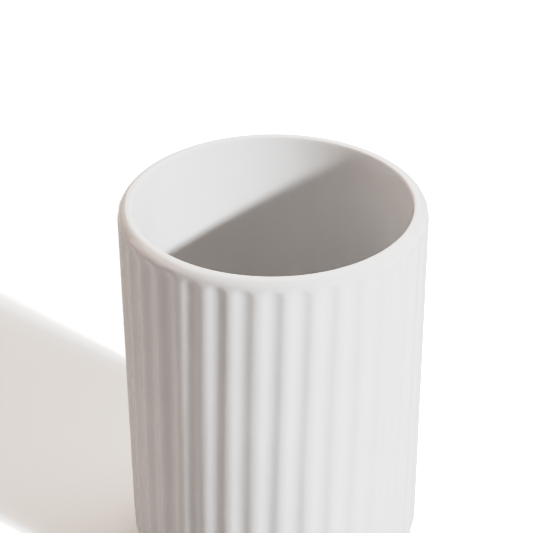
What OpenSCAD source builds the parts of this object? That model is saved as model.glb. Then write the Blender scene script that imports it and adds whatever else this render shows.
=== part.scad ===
// Fluted ceramic pen holder cup.
// A round stoneware cup, open at the top, with shallow upright flutes around its wall,
// a white glaze over everything but the foot ring, and four silicone pads underneath.
// Millimetres, +Z up. The origin is on the desk, on the cup's axis.

/* [Cup] */
// Outside diameter across the ribs between the flutes
cup_d = 80; // [74:1:90]
// Height from the desk to the top of the rim
cup_h = 112; // [90:1:130]
// Thickness of the wall and of the rounded rim, glaze included
wall_t = 4.2; // [3.8:0.1:5]
// Thickness of the floor, glaze included
floor_t = 4.4; // [4:0.1:7]
// Radius between the wall and the floor, inside the cup
floor_fillet_r = 6; // [4:0.5:10]
// Radius of the rounded heel, outside the cup
heel_r = 11; // [9:0.5:12]

/* [Flutes] */
// Number of flutes around the wall
flute_count = 36; // [30:1:38]
// Radius of a flute's hollow
flute_r = 5; // [4.6:0.1:5.4]
// Depth of a flute below the ribs
flute_depth = 0.6; // [0.5:0.05:0.65]
// Height of the plain band between the top of the rim and the flutes' round ends
rim_band = 2.3; // [2.2:0.1:8]
// Lean of the flutes from upright in degrees, as the clay twists a little in firing
flute_lean = 1.5; // [0.1:0.1:2]
// Angle about the axis of the first flute at the middle of its height, in degrees
flute_turn = 8.2; // [0:0.1:10]

/* [Foot] */
// Outside diameter of the bare foot ring
foot_d = 60; // [56:1:62]
// Width of the foot ring
foot_w = 4.6; // [3.5:0.1:6]
// Height of the foot ring on its outer side, up to the heel
foot_h = 2; // [1.8:0.1:3]
// Depth of the recess inside the foot ring
recess_h = 1.4; // [1.2:0.1:1.6]
// Bevel on the bottom edges of the foot ring
foot_bevel = 0.7; // [0.3:0.1:1]
// Height of the bare clay between the bottom of the foot ring and the glaze
bare_h = 1.1; // [0.8:0.1:1.2]

/* [Glaze] */
// Thickness of the glaze
glaze_t = 0.4; // [0.3:0.05:0.5]

/* [Pads] */
// Diameter of a pad
pad_d = 10; // [8:0.5:12]
// Thickness of a pad
pad_t = 2; // [1.8:0.1:2.4]
// Bevel on the bottom edge of a pad
pad_bevel = 0.4; // [0.2:0.1:0.8]
// Thickness of the adhesive disc on top of a pad
adhesive_t = 0.2; // [0.1:0.05:0.3]
// Distance that a pad's edge stands out past its adhesive disc
adhesive_margin = 0.4; // [0.2:0.1:1]
// Gap between a pad and the foot ring
pad_gap = 1; // [0.5:0.1:3]

/* [Hidden] */
$fn = 96;

cup_r = cup_d / 2;
lip_r = wall_t / 2;
lip_z = cup_h - lip_r;
hollow_r = cup_r - wall_t;

// Heights from the desk up: the pads, the recess over them, the foot and the heel
recess_z = pad_t + adhesive_t;
foot_z = recess_z - recess_h;
heel_z = foot_z + foot_h;
heel_top_z = heel_z + heel_r;
floor_z = recess_z + floor_t;
heel_centre_r = cup_r - heel_r;
foot_r = foot_d / 2;
recess_r = foot_r - foot_w;

// The flute cutters' axes lie on this radius, and a flute's end is as high as it is half wide
flute_axis_r = cup_r - flute_depth + flute_r;
flute_end_h = sqrt(pow(flute_r, 2) - pow(flute_axis_r - cup_r, 2));
flute_top_z = cup_h - rim_band - flute_end_h;
flute_mid_z = (flute_top_z + heel_top_z) / 2;

pad_r = pad_d / 2;
pad_circle_r = recess_r - pad_gap - pad_r;
pad_angles = [45, 135, 225, 315];

// A rectangle in the half-section: radii along x, heights along y
module section_box(r0, r1, z0, z1) {
    translate([r0, z0]) square([r1 - r0, z1 - z0]);
}

// The cup's outside without its foot and flutes, taken in by inset all over
module outer_form(inset) {
    rotate_extrude() intersection() {
        union() {
            section_box(0, cup_r - inset, heel_top_z, lip_z);
            section_box(0, heel_centre_r, heel_z + inset, heel_top_z);
            translate([heel_centre_r, heel_top_z]) circle(r = heel_r - inset);
            translate([cup_r - lip_r, lip_z]) circle(r = lip_r - inset);
        }
        section_box(0, cup_r, 0, cup_h);
    }
}

// The space inside the cup, let out by margin all over
module hollow_form(margin) {
    centre_r = hollow_r - floor_fillet_r;
    centre_z = floor_z + floor_fillet_r;
    rotate_extrude() intersection() {
        union() {
            section_box(0, hollow_r + margin, centre_z, lip_z);
            section_box(0, centre_r, floor_z - margin, centre_z);
            translate([centre_r, centre_z]) circle(r = floor_fillet_r + margin);
        }
        section_box(0, cup_r, 0, cup_h);
    }
}

// Cutters for all the flutes: round bars with ball ends, leaning sideways
module flute_cutters(margin) {
    bar_top = flute_top_z - flute_mid_z;
    for (i = [0 : flute_count - 1])
        rotate(flute_turn + i * 360 / flute_count)
            translate([flute_axis_r, 0, flute_mid_z])
                rotate([-flute_lean, 0, 0]) {
                    translate([0, 0, -cup_h])
                        cylinder(r = flute_r + margin, h = cup_h + bar_top);
                    translate([0, 0, bar_top]) sphere(r = flute_r + margin);
                }
}

// The clay's base: the foot ring and the disc that it stands under
module base_form() {
    disc_top_z = heel_z + 1;
    disc_z = recess_z + glaze_t;
    rotate_extrude() polygon([
        [0, disc_z],
        [recess_r, disc_z],
        [recess_r, foot_z + foot_bevel],
        [recess_r + foot_bevel, foot_z],
        [foot_r - foot_bevel, foot_z],
        [foot_r, foot_z + foot_bevel],
        [foot_r, disc_top_z],
        [0, disc_top_z]
    ]);
}

module clay_form() {
    difference() {
        union() {
            difference() {
                outer_form(glaze_t);
                flute_cutters(glaze_t);
            }
            base_form();
        }
        hollow_form(glaze_t);
    }
}

// The fired clay, bare only on its foot ring
module ceramic_body() {
    color("tan") clay_form();
}

// The white glaze, down the outside, over the rim and over the whole inside
module glaze_coat() {
    skirt_z = foot_z + bare_h;
    color("whitesmoke") difference() {
        union() {
            difference() {
                outer_form(0);
                flute_cutters(0);
            }
            translate([0, 0, skirt_z])
                cylinder(r = foot_r + glaze_t, h = heel_z + 1 - skirt_z);
        }
        hollow_form(0);
        clay_form();
        translate([0, 0, -1]) cylinder(r = foot_r, h = heel_z + 1);
    }
}

// The thin glaze in the recess, inside the foot ring
module underside_glaze() {
    color("whitesmoke") translate([0, 0, recess_z]) cylinder(r = recess_r, h = glaze_t);
}

module at_pad(i) {
    rotate(pad_angles[i - 1]) translate([pad_circle_r, 0, 0]) children();
}

// Double-sided adhesive that holds pad i to the glaze in the recess
module pad_adhesive(i) {
    color("lightyellow") at_pad(i) translate([0, 0, pad_t])
        cylinder(r = pad_r - adhesive_margin, h = adhesive_t);
}

// Silicone pad i, which the cup stands on
module non_slip_pad(i) {
    color("gainsboro") at_pad(i) rotate_extrude() polygon([
        [0, 0],
        [pad_r - pad_bevel, 0],
        [pad_r, pad_bevel],
        [pad_r, pad_t],
        [0, pad_t]
    ]);
}

ceramic_body();
glaze_coat();
underside_glaze();
pad_adhesive(1);  // pad_adhesive_1
pad_adhesive(2);  // pad_adhesive_2
pad_adhesive(3);  // pad_adhesive_3
pad_adhesive(4);  // pad_adhesive_4
non_slip_pad(1);  // non_slip_pad_1
non_slip_pad(2);  // non_slip_pad_2
non_slip_pad(3);  // non_slip_pad_3
non_slip_pad(4);  // non_slip_pad_4
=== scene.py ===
"""Looks of the fluted ceramic pen holder cup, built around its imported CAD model.

Shapes are made in millimetres, in the CAD model's own frame, and turned into metres by add_piece().
"""

import math

import bpy
import numpy as np
from mathutils import Matrix, Vector


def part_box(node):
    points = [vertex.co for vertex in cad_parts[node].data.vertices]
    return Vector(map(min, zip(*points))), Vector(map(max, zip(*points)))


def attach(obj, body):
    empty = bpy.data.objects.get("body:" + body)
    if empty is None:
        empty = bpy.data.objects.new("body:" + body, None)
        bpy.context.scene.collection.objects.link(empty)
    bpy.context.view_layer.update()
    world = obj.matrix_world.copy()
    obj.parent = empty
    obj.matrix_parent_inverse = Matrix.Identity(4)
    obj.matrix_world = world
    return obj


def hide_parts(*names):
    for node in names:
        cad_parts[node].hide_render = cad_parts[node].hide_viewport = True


# ---------------------------------------------------------------- sizes, mm

WALL_T = 4.2
GLAZE_T = 0.4
LIP_OUT_R = 3.2
LIP_IN_R = WALL_T - LIP_OUT_R
HEEL_R = 11.0
HEEL_TOP_Z = 13.8
FLOOR_Z = 6.6
FLOOR_FILLET_R = 6.0
FOOT_R = 30.0
FOOT_Z = 0.8
FOOT_EDGE_R = 0.7
RECESS_R = 25.4
RECESS_Z = 2.2
SKIRT_Z = 1.9
PAD_EDGE_R = 0.4
PAD_DRAFT = 0.06

FLUTES = 36
FLUTE_R = 5.0
FLUTE_DEPTH = 0.6
FLUTE_LEAN = 1.5
FLUTE_TURN = 8.2
FLUTE_AXIS_R = 44.4
FLUTE_TOP_Z = 107.3
FLUTE_MID_Z = 60.6
FLUTE_SOFTNESS = 0.45
MOUTH_FLARE = 0.3
MOUTH_H = 8.0

COLUMNS_OUT = 576
COLUMNS_IN = 288
COLUMNS_PAD = 48
COLUMN_CROWDING = 0.45

SEED = 20


# ---------------------------------------------------------------- colours, lights and camera

GLAZE_THIN = (0.905, 0.90, 0.892)
GLAZE_THICK = (0.925, 0.925, 0.927)
GLAZE_CLOUD = (0.875, 0.871, 0.87)
GLAZE_PINHOLE = (0.80, 0.78, 0.75)
GLAZE_ROUGHNESS = (0.04, 0.085)
CLAY_PALE = (0.74, 0.665, 0.565)
CLAY_WARM = (0.69, 0.605, 0.50)
CLAY_SPECK = (0.30, 0.22, 0.16)
SILICONE_PALE = (0.64, 0.64, 0.62)
SILICONE_DARK = (0.59, 0.59, 0.575)
ADHESIVE_PALE = (0.82, 0.81, 0.75)
ADHESIVE_DARK = (0.76, 0.74, 0.66)
FLOOR_WHITE = (0.93, 0.93, 0.93)
FLOOR_BOUNCE = (0.6, 0.6, 0.6)
FLOOR_HALF = 60.0
SWEEP_REACH = (0.4, 0.8)

LIT_POINT = (0, 0, 0.05)
KEY_PLACE = (0.962, -0.741, 0.564)
KEY_SIZE = (0.25, 0.065)
FLOOR_KEY_SIZE = (0.1, 0.1)
KEY_POWER = 9.44
FLOOR_KEY_POWER = 35.0
KEY_COLOUR = (0.955, 1.0, 1.03)
OVERHEAD_POWER = 7.5
OVERHEAD_COLOUR = (1.06, 1.0, 0.95)
LEFT_POWER = 2.4
LEFT_COLOUR = (1.12, 1.0, 0.93)
BACK_POWER = 3.96
BACK_COLOUR = (1.05, 1.0, 0.96)
WORLD_STRENGTH = 0.106
WORLD_COLOUR = (1.15, 1.0, 0.92)
TONES = (
    (0, 0),
    (0.154, 0.17),
    (0.269, 0.35),
    (0.385, 0.56),
    (0.5, 0.713),
    (0.615, 0.787),
    (0.731, 0.823),
    (0.846, 0.865),
    (1, 1),
)

CAMERA_TURN = (-0.2556, 31.438, -0.439)
CAMERA_PLACE = (0, -0.38910, 0.33033)
CAMERA_LENS = 117.52


# ---------------------------------------------------------------- half-sections

def arc(centre_r, centre_z, radius, start, end, steps):
    """Points of an arc in the half-section, from one angle to another in degrees."""
    turn = np.radians(np.linspace(start, end, steps + 1))
    return np.column_stack((centre_r + radius * np.cos(turn), centre_z + radius * np.sin(turn)))


def line(start, end, steps):
    """Points of a straight stretch of the half-section, both ends included."""
    share = np.linspace(0, 1, steps + 1)[:, None]
    return np.array(start) * (1 - share) + np.array(end) * share


def join(*stretches):
    """The stretches one after another, without a point where it repeats the last one."""
    points = [stretches[0]]
    for stretch in stretches[1:]:
        gap = np.linalg.norm(stretch[0] - points[-1][-1])
        points.append(stretch[1:] if gap < 0.01 else stretch)
    return np.vstack(points)


def outside_section(cup_r, cup_h, inset, start_r):
    """The outside from the heel's foot at start_r up to the top of the lip, taken in by inset."""
    heel_r = HEEL_R - inset
    heel_start = -math.degrees(math.acos((start_r - cup_r + HEEL_R) / heel_r))
    lip_z = cup_h - LIP_OUT_R
    return join(
        arc(cup_r - HEEL_R, HEEL_TOP_Z, heel_r, heel_start, -45, 5),
        arc(cup_r - HEEL_R, HEEL_TOP_Z, heel_r, -45, 0, 11),
        line((cup_r - inset, HEEL_TOP_Z), (cup_r - inset, 103.6), 21),
        line((cup_r - inset, 103.6), (cup_r - inset, lip_z), 21),
        arc(cup_r - LIP_OUT_R, lip_z, LIP_OUT_R - inset, 0, 90, 14),
    )


def inside_section(cup_r, cup_h, inset):
    """The inside from the top of the lip down to the edge of the flat floor, let out by inset."""
    lip_z = cup_h - LIP_IN_R
    hollow_r = cup_r - WALL_T
    fillet_z = FLOOR_Z + FLOOR_FILLET_R
    return join(
        arc(hollow_r + LIP_IN_R, lip_z, LIP_IN_R - inset, 90, 180, 6),
        line((hollow_r + inset, lip_z), (hollow_r + inset, lip_z - MOUTH_H), 8),
        line((hollow_r + inset, lip_z - MOUTH_H), (hollow_r + inset, fillet_z), 14),
        arc(hollow_r - FLOOR_FILLET_R, fillet_z, FLOOR_FILLET_R + inset, 0, -90, 10),
    )


def mouth_flare(z, cup_h):
    """How much thinner the glaze drains inside the mouth, easing in from below and out over the lip."""
    lip_z = cup_h - LIP_IN_R
    rise = max(0, (z - lip_z + MOUTH_H) / MOUTH_H)
    over = min(1, max(0, (z - lip_z) / LIP_IN_R))
    return MOUTH_FLARE * rise ** 1.4 * (1 - over ** 2)


# ---------------------------------------------------------------- surface shapes

def flute_shift(z):
    """How far round the cup a flute has leaned at each height, in radians."""
    height = np.clip(z, 0, FLUTE_TOP_Z + 4) - FLUTE_MID_Z
    return np.arctan(height * math.tan(math.radians(FLUTE_LEAN)) / FLUTE_AXIS_R)


def flute_facts():
    """Small differences between flutes: depth, place and round end, and how each one wanders in mm."""
    chance = np.random.RandomState(SEED)
    return {
        "depth": 1 + 0.05 * chance.uniform(-1, 1, FLUTES),
        "turn": np.radians(0.12) * chance.uniform(-1, 1, FLUTES),
        "top": 0.22 * chance.uniform(-1, 1, FLUTES),
        "wander": 0.13 * chance.uniform(0.4, 1, FLUTES),
        "swell": 0.09 * chance.uniform(0.4, 1, FLUTES),
        "rate": chance.uniform(0.045, 0.10, FLUTES),
        "start": chance.uniform(0, 2 * math.pi, FLUTES),
    }


FACTS = flute_facts()


def flute_cut(angle, z, section_r, cup_r):
    """Depth of the flutes below the plain form, where angle is measured along the leaning flutes."""
    pitch = 2 * math.pi / FLUTES
    number = np.round(angle / pitch).astype(int)
    index = number % FLUTES
    wave = np.sin(z * FACTS["rate"][index] + FACTS["start"][index])
    offset = angle - number * pitch - FACTS["turn"][index]
    across = FLUTE_AXIS_R * np.sin(offset) - FACTS["wander"][index] * wave
    over_end = np.maximum(0, z - FLUTE_TOP_Z - FACTS["top"][index])
    reach = np.hypot(across, over_end)
    near = np.minimum(reach, 0.8 * FLUTE_R)
    rise = FLUTE_R - np.sqrt(FLUTE_R ** 2 - near ** 2) + (reach - near) * 4 / 3
    depth = FLUTE_DEPTH * FACTS["depth"][index] * (1 + FACTS["swell"][index] * wave)
    sharp = depth - rise - (cup_r - section_r)
    return (sharp + np.sqrt(sharp ** 2 + FLUTE_SOFTNESS ** 2)) / 2


def waves(angle, z, size, seed):
    """Gentle waviness of cast and glazed clay, from 0 to size, the same on every run."""
    chance = np.random.RandomState(seed)
    total = np.zeros(np.broadcast(angle, z).shape)
    for _ in range(9):
        around = chance.randint(1, 12)
        along = chance.uniform(-0.22, 0.22)
        start = chance.uniform(0, 2 * math.pi)
        total = total + np.sin(around * angle + along * z + start)
    return size * (0.5 + total / 18)


def ring(section_r, z, columns, cup_r, fluted, wave, seed):
    """One closed ring of points, and how deep in a flute each one is, from 0 to 1."""
    step = 2 * math.pi * np.arange(columns) / columns
    if columns % FLUTES == 0:
        step = step + COLUMN_CROWDING / FLUTES * np.sin(FLUTES * step)
    turn = math.radians(FLUTE_TURN) + step + flute_shift(z)
    radius = np.full(columns, float(section_r))
    hollow = np.zeros(columns)
    if fluted:
        cut = flute_cut(step, z, section_r, cup_r)
        radius = radius - cut
        hollow = np.clip(cut / FLUTE_DEPTH, 0, 1)
    if wave:
        fade = min(1, abs(section_r - cup_r + LIP_OUT_R) / (LIP_IN_R - MOUTH_FLARE))
        radius = radius - fade * waves(turn, z, wave, seed)
    points = np.column_stack((radius * np.cos(turn), radius * np.sin(turn), np.full(columns, z)))
    return points, hollow


# ---------------------------------------------------------------- mesh building

class Shell:
    """Rings of points joined into one skin, closed by poles or on itself."""

    def __init__(self):
        self.points = []
        self.hollow = []
        self.rings = []
        self.faces = []
        self.count = 0

    def add(self, points, hollow):
        self.points.append(points)
        self.hollow.append(hollow)
        self.rings.append((self.count, len(points)))
        self.count += len(points)
        if len(self.rings) > 1:
            self.bridge(self.rings[-2], self.rings[-1])

    def pole(self, z):
        """Closes the skin at a point on the axis, before the first ring or after the last one."""
        self.add(np.array([[0, 0, z]]), np.zeros(1))

    def bridge(self, first, second):
        (a, n), (b, m) = first, second
        if n == 1 and m == 1:
            return
        if n == 1 or m == 1:
            pole = a if n == 1 else b
            start, size = (b, m) if n == 1 else (a, n)
            for j in range(size):
                k = (j + 1) % size
                face = (pole, start + j, start + k) if n == 1 else (start + k, start + j, pole)
                self.faces.append(face)
        elif n == m:
            for j in range(n):
                k = (j + 1) % n
                self.faces.append((a + j, b + j, b + k, a + k))
        elif n == 2 * m:
            for j in range(m):
                k = (j + 1) % m
                f0, f1, f2 = a + 2 * j, a + 2 * j + 1, a + (2 * j + 2) % n
                self.faces.append((f0, b + j, f1))
                self.faces.append((f1, b + j, b + k))
                self.faces.append((f1, b + k, f2))
        elif m == 2 * n:
            for j in range(n):
                k = (j + 1) % n
                f0, f1, f2 = b + 2 * j, b + 2 * j + 1, b + (2 * j + 2) % m
                self.faces.append((a + j, f0, f1))
                self.faces.append((a + j, f1, a + k))
                self.faces.append((a + k, f1, f2))
        else:
            raise ValueError("rings next to each other have the same columns, or twice as many")


def signed_volume(points, faces):
    """Volume inside the faces, negative if they face inwards."""
    corners = np.array([(f[0], f[i], f[i + 1]) for f in faces for i in range(1, len(f) - 1)])
    first, second, third = (points[corners[:, i]] for i in range(3))
    return float(np.sum(first * np.cross(second, third))) / 6


def add_piece(name, points, faces, material, nodes, pool=None):
    """Makes a piece from points in millimetres, facing outwards, riding on the cup's one body."""
    if signed_volume(points, faces) < 0:
        faces = [tuple(reversed(f)) for f in faces]
    mesh = bpy.data.meshes.new(name)
    mesh.from_pydata((points / 1000).tolist(), [], faces)
    mesh.polygons.foreach_set("use_smooth", [True] * len(mesh.polygons))
    if pool is not None:
        layer = mesh.attributes.new("pool", "FLOAT", "POINT")
        layer.data.foreach_set("value", pool.astype(np.float32))
    mesh.update()
    mesh.materials.append(material)
    piece = bpy.data.objects.new(name, mesh)
    bpy.context.scene.collection.objects.link(piece)
    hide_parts(*nodes)
    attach(piece, "root")
    return piece


def closing_disc(shell, start_r, z, columns, outwards=False):
    """Flat rings with fewer and fewer columns between a radius and the axis."""
    sizes = []
    radius = start_r
    while columns > 12:
        columns = columns // 2
        radius = radius * 0.62
        sizes.append((radius, columns))
    if outwards:
        shell.pole(z)
        sizes.reverse()
    for radius, count in sizes:
        points, hollow = ring(radius, z, count, 0, False, 0, 0)
        shell.add(points, hollow)
    if not outwards:
        shell.pole(z)


# ---------------------------------------------------------------- materials

def new_material(name):
    """A material, its node tree and its shader."""
    material = bpy.data.materials.new(name)
    material.use_nodes = True
    tree = material.node_tree
    return material, tree, tree.nodes["Principled BSDF"]


def noise(tree, scale, detail):
    """Noise through the solid, with about scale features in a metre."""
    place = tree.nodes.new("ShaderNodeTexCoord")
    texture = tree.nodes.new("ShaderNodeTexNoise")
    texture.inputs["Scale"].default_value = scale
    texture.inputs["Detail"].default_value = detail
    tree.links.new(place.outputs["Object"], texture.inputs["Vector"])
    return texture.outputs["Fac"]


def spread(tree, value, start, end, low, high):
    """Maps value from start..end to low..high."""
    node = tree.nodes.new("ShaderNodeMapRange")
    node.inputs["From Min"].default_value = start
    node.inputs["From Max"].default_value = end
    node.inputs["To Min"].default_value = low
    node.inputs["To Max"].default_value = high
    tree.links.new(value, node.inputs["Value"])
    return node.outputs["Result"]


def mix(tree, share, first, second):
    """Mixes two colours, each an output or three numbers, by an output."""
    node = tree.nodes.new("ShaderNodeMix")
    node.data_type = "RGBA"
    tree.links.new(share, node.inputs["Factor"])
    for socket, colour in ((node.inputs[6], first), (node.inputs[7], second)):
        if isinstance(colour, tuple):
            socket.default_value = (*colour, 1)
        else:
            tree.links.new(colour, socket)
    return node.outputs[2]


def bump(tree, height, depth_mm, under=None):
    """A bump of that depth, over another one if it is given."""
    node = tree.nodes.new("ShaderNodeBump")
    node.inputs["Strength"].default_value = 1
    node.inputs["Distance"].default_value = depth_mm / 1000
    tree.links.new(height, node.inputs["Height"])
    if under is not None:
        tree.links.new(under, node.inputs["Normal"])
    return node.outputs["Normal"]


def make_glaze_material():
    """Opaque white glaze: a little warmer where it is thin, cooler where it pools, with faint clouds."""
    material, tree, shader = new_material("white_glaze")
    pool = tree.nodes.new("ShaderNodeAttribute")
    pool.attribute_name = "pool"
    cloud = noise(tree, 38, 3)
    body = mix(tree, pool.outputs["Fac"], GLAZE_THIN, GLAZE_THICK)
    clouded = mix(tree, spread(tree, cloud, 0.35, 0.7, 0, 0.75), body, GLAZE_CLOUD)
    pinholes = spread(tree, noise(tree, 620, 2), 0.735, 0.76, 0, 0.35)
    colour = mix(tree, pinholes, clouded, GLAZE_PINHOLE)
    tree.links.new(colour, shader.inputs["Base Color"])
    gloss = spread(tree, noise(tree, 70, 3), 0.3, 0.7, *GLAZE_ROUGHNESS)
    tree.links.new(gloss, shader.inputs["Roughness"])
    ripple = bump(tree, noise(tree, 95, 1), 0.055)
    peel = bump(tree, noise(tree, 420, 2), 0.006, ripple)
    tree.links.new(peel, shader.inputs["Normal"])
    shader.inputs["IOR"].default_value = 1.55
    return material


def make_clay_material():
    """Bare fired clay: warm, matte and finely pitted, with small iron specks."""
    material, tree, shader = new_material("stoneware")
    body = mix(tree, spread(tree, noise(tree, 60, 4), 0.3, 0.7, 0, 1), CLAY_PALE, CLAY_WARM)
    specks = spread(tree, noise(tree, 1100, 2), 0.69, 0.74, 0, 0.75)
    tree.links.new(mix(tree, specks, body, CLAY_SPECK), shader.inputs["Base Color"])
    rough = spread(tree, noise(tree, 300, 3), 0.3, 0.7, 0.78, 0.95)
    tree.links.new(rough, shader.inputs["Roughness"])
    grain = bump(tree, noise(tree, 1500, 4), 0.05, bump(tree, noise(tree, 240, 2), 0.08))
    tree.links.new(grain, shader.inputs["Normal"])
    return material


def make_silicone_material():
    """Pale grey silicone with a fine moulded grain."""
    material, tree, shader = new_material("silicone")
    colour = mix(tree, spread(tree, noise(tree, 180, 3), 0.3, 0.7, 0, 1), SILICONE_DARK, SILICONE_PALE)
    tree.links.new(colour, shader.inputs["Base Color"])
    gloss = spread(tree, noise(tree, 500, 2), 0.3, 0.7, 0.42, 0.55)
    tree.links.new(gloss, shader.inputs["Roughness"])
    tree.links.new(bump(tree, noise(tree, 2600, 2), 0.012), shader.inputs["Normal"])
    return material


def make_adhesive_material():
    """Thin acrylic adhesive film, faintly streaked."""
    material, tree, shader = new_material("adhesive")
    colour = mix(tree, spread(tree, noise(tree, 420, 4), 0.3, 0.7, 0, 1), ADHESIVE_DARK, ADHESIVE_PALE)
    tree.links.new(colour, shader.inputs["Base Color"])
    gloss = spread(tree, noise(tree, 700, 2), 0.3, 0.7, 0.5, 0.65)
    tree.links.new(gloss, shader.inputs["Roughness"])
    tree.links.new(bump(tree, noise(tree, 1800, 2), 0.01), shader.inputs["Normal"])
    return material


def make_floor_material(name, colour, glow):
    """Matte floor, and with glow it turns evenly pale away from the cup, as a lit studio sweep does."""
    material, tree, shader = new_material(name)
    shader.inputs["Base Color"].default_value = (*colour, 1)
    shader.inputs["Roughness"].default_value = 0.9
    if glow:
        place = tree.nodes.new("ShaderNodeTexCoord")
        distance = tree.nodes.new("ShaderNodeVectorMath")
        distance.operation = "LENGTH"
        tree.links.new(place.outputs["Object"], distance.inputs[0])
        shader.inputs["Emission Color"].default_value = (1, 1, 1, 1)
        pale = spread(tree, distance.outputs["Value"], *SWEEP_REACH, 0, 0.95)
        tree.links.new(pale, shader.inputs["Emission Strength"])
    return material


# ---------------------------------------------------------------- pieces

def glaze_pool(points, hollow, visible, cup_h):
    """How thick the glaze lies: thin on the lip, thick in the flutes, the floor's corner and the bead."""
    radius = np.hypot(points[:, 0], points[:, 1])
    z = points[:, 2]
    lip = np.clip((z - (cup_h - LIP_OUT_R)) / LIP_OUT_R, 0, 1)
    corner = np.exp(-((radius - 34) / 3.5) ** 2 - ((z - 8.5) / 4) ** 2)
    bead = np.exp(-((z - 2.2) / 0.8) ** 2) * (radius > 29)
    pool = 0.45 + 0.4 * hollow - 0.45 * lip + 0.4 * corner + 0.4 * bead
    pool[visible:] = 0.5
    return np.clip(pool, 0, 1)


def make_glaze(material, cup_r, cup_h):
    """The glaze as a closed skin: its visible side first, and then the side on the clay."""
    shell = Shell()
    bead = arc(FOOT_R, SKIRT_Z + GLAZE_T, GLAZE_T, -90, 0, 4)
    throat = arc(30.85, 2.5, 0.45, 180, 99.3, 5)
    for r, z in join(bead, throat, outside_section(cup_r, cup_h, 0, 30.777)):
        shell.add(*ring(r, z, COLUMNS_OUT, cup_r, True, 0.05, 3))
    inner = inside_section(cup_r, cup_h, 0)[1:]
    for r, z in inner:
        shell.add(*ring(r + mouth_flare(z, cup_h), z, COLUMNS_IN, cup_r, False, 0.06, 5))
    closing_disc(shell, inner[-1][0], FLOOR_Z, COLUMNS_IN)
    visible = shell.count
    closing_disc(shell, inner[-1][0], FLOOR_Z - GLAZE_T, COLUMNS_IN, True)
    for r, z in inside_section(cup_r, cup_h, GLAZE_T)[::-1]:
        shell.add(*ring(r, z, COLUMNS_IN, cup_r, False, 0, 0))
    for r, z in outside_section(cup_r, cup_h, GLAZE_T, FOOT_R)[::-1][1:]:
        shell.add(*ring(r, z, COLUMNS_IN, cup_r - GLAZE_T, True, 0, 0))
    for r, z in line((FOOT_R, 2.9), (FOOT_R, SKIRT_Z + 0.03), 2):
        shell.add(*ring(r, z, COLUMNS_IN, cup_r, False, 0, 0))
    shell.bridge(shell.rings[-1], shell.rings[0])
    points = np.vstack(shell.points)
    pool = glaze_pool(points, np.concatenate(shell.hollow), visible, cup_h)
    return add_piece("glaze_skin", points, shell.faces, material, ["glaze_coat"], pool)


def make_clay(material, cup_r, cup_h):
    """The fired clay: recess, foot ring with rounded edges, fluted wall, lip, hollow and floor."""
    shell = Shell()
    ceiling_z = RECESS_Z + GLAZE_T
    edge = FOOT_EDGE_R
    foot = join(
        line((RECESS_R, ceiling_z), (RECESS_R, FOOT_Z + edge), 3),
        arc(RECESS_R + edge, FOOT_Z + edge, edge, 180, 270, 6),
        arc(FOOT_R - edge, FOOT_Z + edge, edge, -90, 0, 6),
        line((FOOT_R, FOOT_Z + edge), (FOOT_R, 3.1), 4),
    )
    closing_disc(shell, RECESS_R, ceiling_z, COLUMNS_IN, True)
    for r, z in foot:
        shell.add(*ring(r, z, COLUMNS_IN, cup_r, False, 0, 0))
    for r, z in outside_section(cup_r, cup_h, GLAZE_T, FOOT_R):
        shell.add(*ring(r, z, COLUMNS_IN, cup_r - GLAZE_T, True, 0, 0))
    inner = inside_section(cup_r, cup_h, GLAZE_T)[1:]
    for r, z in inner:
        shell.add(*ring(r, z, COLUMNS_IN, cup_r, False, 0, 0))
    closing_disc(shell, inner[-1][0], FLOOR_Z - GLAZE_T, COLUMNS_IN)
    points = np.vstack(shell.points)
    return add_piece("clay_body", points, shell.faces, material, ["ceramic_body"])


def make_underside_glaze(material):
    """The glaze in the recess, climbing a little way down the foot ring where it wets the clay."""
    shell = Shell()
    wet = 0.5
    section = join(
        line((RECESS_R - 2 * wet, RECESS_Z), (RECESS_R - wet, RECESS_Z), 1),
        arc(RECESS_R - wet, RECESS_Z - wet, wet, 90, 0, 6),
        line((RECESS_R, RECESS_Z - wet), (RECESS_R, RECESS_Z + GLAZE_T), 2),
    )
    closing_disc(shell, RECESS_R - 2 * wet, RECESS_Z, COLUMNS_IN, True)
    for r, z in section:
        shell.add(*ring(r, z, COLUMNS_IN, 0, False, 0, 0))
    closing_disc(shell, RECESS_R, RECESS_Z + GLAZE_T, COLUMNS_IN)
    points = np.vstack(shell.points)
    pool = np.clip(0.4 + (RECESS_Z - points[:, 2]) / wet * 0.5, 0, 1)
    name = "underside_glaze_skin"
    return add_piece(name, points, shell.faces, material, ["underside_glaze"], pool)


def round_piece(name, node, section, material):
    """A turned piece around the middle of the CAD node's box."""
    low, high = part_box(node)
    shell = Shell()
    closing_disc(shell, section[0][0], section[0][1], COLUMNS_PAD, True)
    for r, z in section:
        shell.add(*ring(r, z, COLUMNS_PAD, 0, False, 0, 0))
    closing_disc(shell, section[-1][0], section[-1][1], COLUMNS_PAD)
    middle = np.array([(low.x + high.x) * 500, (low.y + high.y) * 500, 0])
    return add_piece(name, np.vstack(shell.points) + middle, shell.faces, material, [node])


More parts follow.
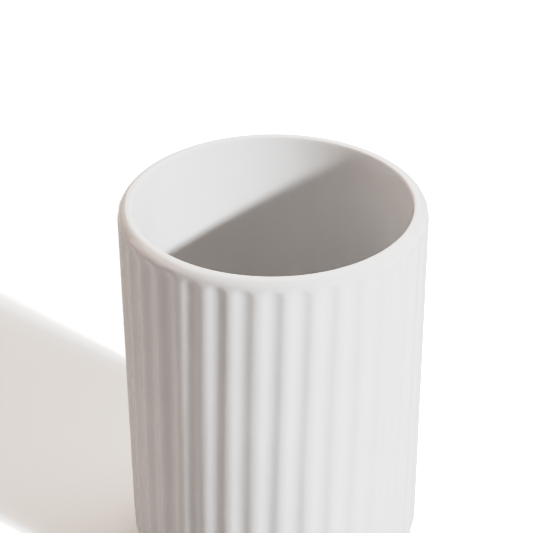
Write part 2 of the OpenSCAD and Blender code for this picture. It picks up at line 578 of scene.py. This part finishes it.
def make_pad(number, silicone, adhesive):
    """A silicone pad with a rounded foot and slightly tapered side, and the adhesive disc on it."""
    node = f"non_slip_pad_{number}"
    low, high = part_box(node)
    pad_r = (high.x - low.x) * 500 - 0.01
    top_z = high.z * 1000
    edge = PAD_EDGE_R
    side = join(
        arc(pad_r - edge, edge, edge, -90, 0, 5),
        line((pad_r, edge), (pad_r - PAD_DRAFT, top_z - 0.12), 2),
        line((pad_r - PAD_DRAFT, top_z - 0.12), (pad_r - PAD_DRAFT - 0.12, top_z), 1),
    )
    round_piece(f"pad_{number}", node, side, silicone)
    disc = f"pad_adhesive_{number}"
    low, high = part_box(disc)
    disc_r = (high.x - low.x) * 500 - 0.01
    film = line((disc_r, low.z * 1000), (disc_r, high.z * 1000), 1)
    round_piece(f"adhesive_disc_{number}", disc, film, adhesive)


# ---------------------------------------------------------------- studio

def link(thing):
    bpy.context.scene.collection.objects.link(thing)
    return thing


def make_floor(name, z, half, colour, glow):
    """A wide level floor."""
    corners = [(-half, -half, z), (half, -half, z), (half, half, z), (-half, half, z)]
    mesh = bpy.data.meshes.new(name)
    mesh.from_pydata(corners, [], [(0, 1, 2, 3)])
    mesh.materials.append(make_floor_material(name, colour, glow))
    floor = link(bpy.data.objects.new(name, mesh))
    return floor


def make_floors():
    """The pale floor that is seen, and one just under it that throws light back at the cup."""
    seen = make_floor("floor", 0, FLOOR_HALF, FLOOR_WHITE, True)
    seen.visible_diffuse = False
    seen.visible_glossy = False
    seen.visible_shadow = False
    bounce = make_floor("floor_bounce", -0.0002, 6.0, FLOOR_BOUNCE, False)
    bounce.visible_camera = False
    return seen


def make_lamp(name, place, size, power, colour):
    """A soft light that shines at the cup and isn't seen itself."""
    light = bpy.data.lights.new(name, "AREA")
    light.shape = "RECTANGLE"
    light.size = size[0]
    light.size_y = size[1]
    light.energy = power
    light.color = colour
    lamp = link(bpy.data.objects.new(name, light))
    lamp.location = place
    lamp.rotation_mode = "QUATERNION"
    lamp.rotation_quaternion = (Vector(place) - Vector(LIT_POINT)).to_track_quat("Z", "Y")
    lamp.visible_camera = False
    return lamp


def make_key(floor):
    """The key light, wide and low like a strip box, and its twin that only lights the floor."""
    key = make_lamp("key", KEY_PLACE, KEY_SIZE, KEY_POWER, KEY_COLOUR)
    twin = make_lamp("floor_key", KEY_PLACE, FLOOR_KEY_SIZE, FLOOR_KEY_POWER, KEY_COLOUR)
    key.data.shape = "ELLIPSE"
    twin.data.shape = "ELLIPSE"
    key.visible_glossy = False
    twin.visible_glossy = False
    only_floor = bpy.data.collections.new("only_floor")
    only_floor.objects.link(floor)
    twin.light_linking.receiver_collection = only_floor


def make_world():
    world = bpy.data.worlds.new("studio")
    world.use_nodes = True
    background = world.node_tree.nodes["Background"]
    background.inputs["Color"].default_value = (*WORLD_COLOUR, 1)
    background.inputs["Strength"].default_value = WORLD_STRENGTH
    bpy.context.scene.world = world


def set_tones():
    """A film-like response: soft highlights on the glaze, and white for the lit floor."""
    view = bpy.context.scene.view_settings
    view.view_transform = "Standard"
    view.use_curve_mapping = True
    mapping = view.curve_mapping
    curve = mapping.curves[3]
    curve.points[0].location = TONES[0]
    curve.points[1].location = TONES[-1]
    for x, y in TONES[1:-1]:
        curve.points.new(x, y)
    mapping.update()


def make_camera():
    """The camera, aimed by its yaw, pitch and roll in degrees."""
    yaw, pitch, roll = (math.radians(a) for a in CAMERA_TURN)
    ahead = Vector((math.sin(yaw) * math.cos(pitch), math.cos(yaw) * math.cos(pitch), -math.sin(pitch)))
    level = Vector((math.cos(yaw), -math.sin(yaw), 0))
    upright = level.cross(ahead)
    side = level * math.cos(roll) + upright * math.sin(roll)
    top = upright * math.cos(roll) - level * math.sin(roll)
    data = bpy.data.cameras.new("camera")
    data.lens = CAMERA_LENS
    data.sensor_width = 36
    camera = link(bpy.data.objects.new("camera", data))
    turn = Matrix((side, top, -ahead)).transposed().to_4x4()
    camera.matrix_world = Matrix.Translation(CAMERA_PLACE) @ turn
    bpy.context.scene.camera = camera


# ---------------------------------------------------------------- build

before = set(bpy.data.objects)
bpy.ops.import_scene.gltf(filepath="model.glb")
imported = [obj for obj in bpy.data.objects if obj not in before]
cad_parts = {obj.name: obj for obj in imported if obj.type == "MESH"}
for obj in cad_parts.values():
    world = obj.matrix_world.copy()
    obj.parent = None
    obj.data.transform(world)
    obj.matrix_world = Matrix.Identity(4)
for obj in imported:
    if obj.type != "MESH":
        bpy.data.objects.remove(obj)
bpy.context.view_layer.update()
CUP_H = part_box("glaze_coat")[1].z * 1000
CUP_R = round(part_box("glaze_coat")[1].x * 1000)

glaze = make_glaze_material()
silicone = make_silicone_material()
adhesive = make_adhesive_material()
make_glaze(glaze, CUP_R, CUP_H)
make_clay(make_clay_material(), CUP_R, CUP_H)
make_underside_glaze(glaze)
for number in (1, 2, 3, 4):
    make_pad(number, silicone, adhesive)

make_key(make_floors())
make_lamp("overhead", (0.2, 0.6, 1.25), (1.6, 1.2), OVERHEAD_POWER, OVERHEAD_COLOUR)
make_lamp("left", (-1.2, 0.2, 0.6), (1.0, 1.0), LEFT_POWER, LEFT_COLOUR)
make_lamp("back", (0, 1.5, 0.7), (1.4, 1.0), BACK_POWER, BACK_COLOUR)
make_world()
set_tones()
make_camera()
